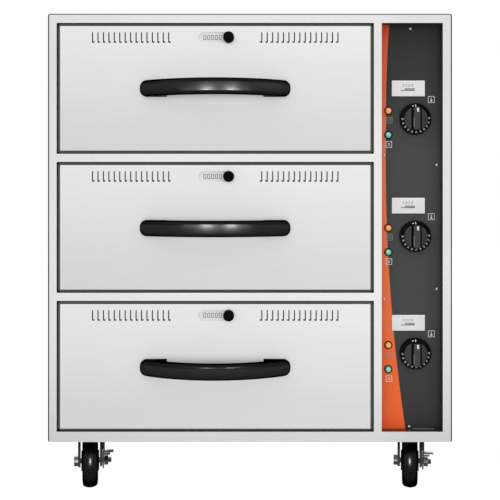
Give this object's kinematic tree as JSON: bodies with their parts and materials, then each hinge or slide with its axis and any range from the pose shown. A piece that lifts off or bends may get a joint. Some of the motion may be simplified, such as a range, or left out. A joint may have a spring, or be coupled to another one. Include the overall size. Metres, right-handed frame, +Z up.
{
  "type": "drawer_warmer",
  "caption": "Free-standing stainless drawer warmer on casters, with slatted vents, bow handles and a column of thermostat controls beside the drawers.",
  "frame": {"origin": "on the floor under the middle of the overall bounding box", "axes": "+Z up, the drawers open towards -Y, +X is the controls' side"},
  "size_m": [0.75, 0.656, 0.9],
  "materials": {
    "stainless": "brushed stainless sheet, grain across the front",
    "galvanised": "dull galvanised sheet",
    "liner_steel": "plain stainless sheet",
    "pan_steel": "satin deep drawn stainless",
    "zinc_steel": "bright zinc plate",
    "heater_sheath": "oxidised steel sheath",
    "insulation_board": "mineral wool board",
    "panel_charcoal": "matt charcoal with a printed face",
    "strip_orange": "orange printed film",
    "display_white": "pale grey display with a bezel",
    "lamp_amber": "translucent amber cap",
    "lamp_green": "translucent green cap",
    "handle_black": "satin black moulded plastic",
    "knob_black": "black moulded plastic with pale numerals",
    "black_plastic": "black moulded plastic",
    "gasket_rubber": "dark silicone rubber",
    "wheel_rubber": "black rubber tread on a moulded wheel"
  },
  "bodies": {
    "cabinet": {"outer_shell": "stainless", "face_frame": "stainless", "base_pan": "galvanised", "back_panel": "galvanised", "cord_gland": "black_plastic", "cavity_liners": "liner_steel", "insulation": "insulation_board", "compartment_divider": "galvanised", "heating_elements": "heater_sheath", "control_panel": "panel_charcoal", "accent_strip": "strip_orange", "displays": "display_white", "amber_lamps": "lamp_amber", "green_lamps": "lamp_green", "thermostats": "black_plastic", "slide_outer_members": "zinc_steel", "caster_plates": "zinc_steel"},
    "drawer_1": {"drawer_front_1": "stainless", "drawer_inner_panel_1": "liner_steel", "drawer_gasket_1": "gasket_rubber", "drawer_handle_1": "handle_black", "drawer_carrier_1": "liner_steel", "food_pan_1": "pan_steel", "slide_inner_1": "zinc_steel"},
    "slide_1": {"slide_mid_1": "zinc_steel"},
    "vent_1": {"vent_shutter_1": "stainless", "vent_knob_1": "handle_black"},
    "knob_1": {"thermostat_knob_1": "knob_black"},
    "drawer_2": {"drawer_front_2": "stainless", "drawer_inner_panel_2": "liner_steel", "drawer_gasket_2": "gasket_rubber", "drawer_handle_2": "handle_black", "drawer_carrier_2": "liner_steel", "food_pan_2": "pan_steel", "slide_inner_2": "zinc_steel"},
    "slide_2": {"slide_mid_2": "zinc_steel"},
    "vent_2": {"vent_shutter_2": "stainless", "vent_knob_2": "handle_black"},
    "knob_2": {"thermostat_knob_2": "knob_black"},
    "drawer_3": {"drawer_front_3": "stainless", "drawer_inner_panel_3": "liner_steel", "drawer_gasket_3": "gasket_rubber", "drawer_handle_3": "handle_black", "drawer_carrier_3": "liner_steel", "food_pan_3": "pan_steel", "slide_inner_3": "zinc_steel"},
    "slide_3": {"slide_mid_3": "zinc_steel"},
    "vent_3": {"vent_shutter_3": "stainless", "vent_knob_3": "handle_black"},
    "knob_3": {"thermostat_knob_3": "knob_black"},
    "swivel_1": {"caster_fork_1": "zinc_steel"},
    "wheel_1": {"caster_wheel_1": "wheel_rubber"},
    "brake_1": {"brake_lever_1": "zinc_steel"},
    "swivel_2": {"caster_fork_2": "zinc_steel"},
    "wheel_2": {"caster_wheel_2": "wheel_rubber"},
    "brake_2": {"brake_lever_2": "zinc_steel"},
    "swivel_3": {"caster_fork_3": "zinc_steel"},
    "wheel_3": {"caster_wheel_3": "wheel_rubber"},
    "swivel_4": {"caster_fork_4": "zinc_steel"},
    "wheel_4": {"caster_wheel_4": "wheel_rubber"}
  },
  "joints": [
    {"name": "drawer_slide_1", "type": "slide", "parent": "cabinet", "child": "drawer_1", "axis": [0, -1, 0], "range_m": [0, 0.43]},
    {"name": "mid_slide_1", "type": "slide", "parent": "cabinet", "child": "slide_1", "axis": [0, -1, 0], "range_m": [0, 0.215]},
    {"name": "vent_slide_1", "type": "slide", "parent": "drawer_1", "child": "vent_1", "axis": [-1, 0, 0], "range_m": [0, 0.04545]},
    {"name": "thermostat_turn_1", "type": "hinge", "parent": "cabinet", "child": "knob_1", "pos_m": [0.31025, -0.2575, 0.706], "axis": [0, 1, 0], "range_deg": [0, 270]},
    {"name": "drawer_slide_2", "type": "slide", "parent": "cabinet", "child": "drawer_2", "axis": [0, -1, 0], "range_m": [0, 0.43]},
    {"name": "mid_slide_2", "type": "slide", "parent": "cabinet", "child": "slide_2", "axis": [0, -1, 0], "range_m": [0, 0.215]},
    {"name": "vent_slide_2", "type": "slide", "parent": "drawer_2", "child": "vent_2", "axis": [-1, 0, 0], "range_m": [0, 0.04545]},
    {"name": "thermostat_turn_2", "type": "hinge", "parent": "cabinet", "child": "knob_2", "pos_m": [0.31025, -0.2575, 0.486], "axis": [0, 1, 0], "range_deg": [0, 270]},
    {"name": "drawer_slide_3", "type": "slide", "parent": "cabinet", "child": "drawer_3", "axis": [0, -1, 0], "range_m": [0, 0.43]},
    {"name": "mid_slide_3", "type": "slide", "parent": "cabinet", "child": "slide_3", "axis": [0, -1, 0], "range_m": [0, 0.215]},
    {"name": "vent_slide_3", "type": "slide", "parent": "drawer_3", "child": "vent_3", "axis": [-1, 0, 0], "range_m": [0, 0.04545]},
    {"name": "thermostat_turn_3", "type": "hinge", "parent": "cabinet", "child": "knob_3", "pos_m": [0.31025, -0.2575, 0.266], "axis": [0, 1, 0], "range_deg": [0, 270]},
    {"name": "caster_swivel_1", "type": "hinge", "parent": "cabinet", "child": "swivel_1", "pos_m": [-0.315, -0.166, 0.115], "axis": [0, 0, 1], "continuous": true},
    {"name": "wheel_spin_1", "type": "hinge", "parent": "swivel_1", "child": "wheel_1", "pos_m": [-0.30892, -0.20047, 0.05], "axis": [0.9848, 0.1736, 0], "continuous": true},
    {"name": "brake_press_1", "type": "hinge", "parent": "swivel_1", "child": "brake_1", "pos_m": [-0.30892, -0.20047, 0.05], "axis": [0.9848, 0.1736, 0], "range_deg": [0, 22]},
    {"name": "caster_swivel_2", "type": "hinge", "parent": "cabinet", "child": "swivel_2", "pos_m": [0.315, -0.166, 0.115], "axis": [0, 0, 1], "continuous": true},
    {"name": "wheel_spin_2", "type": "hinge", "parent": "swivel_2", "child": "wheel_2", "pos_m": [0.30892, -0.20047, 0.05], "axis": [0.9848, -0.1736, 0], "continuous": true},
    {"name": "brake_press_2", "type": "hinge", "parent": "swivel_2", "child": "brake_2", "pos_m": [0.30892, -0.20047, 0.05], "axis": [0.9848, -0.1736, 0], "range_deg": [0, 22]},
    {"name": "caster_swivel_3", "type": "hinge", "parent": "cabinet", "child": "swivel_3", "pos_m": [-0.315, 0.206, 0.115], "axis": [0, 0, 1], "continuous": true},
    {"name": "wheel_spin_3", "type": "hinge", "parent": "swivel_3", "child": "wheel_3", "pos_m": [-0.315, 0.171, 0.05], "axis": [1, 0, 0], "continuous": true},
    {"name": "caster_swivel_4", "type": "hinge", "parent": "cabinet", "child": "swivel_4", "pos_m": [0.315, 0.206, 0.115], "axis": [0, 0, 1], "continuous": true},
    {"name": "wheel_spin_4", "type": "hinge", "parent": "swivel_4", "child": "wheel_4", "pos_m": [0.315, 0.171, 0.05], "axis": [1, 0, 0], "continuous": true}
  ],
  "couplings": [
    {"joint": "mid_slide_1", "follows": "drawer_slide_1", "ratio": 0.5},
    {"joint": "mid_slide_2", "follows": "drawer_slide_2", "ratio": 0.5},
    {"joint": "mid_slide_3", "follows": "drawer_slide_3", "ratio": 0.5}
  ]
}
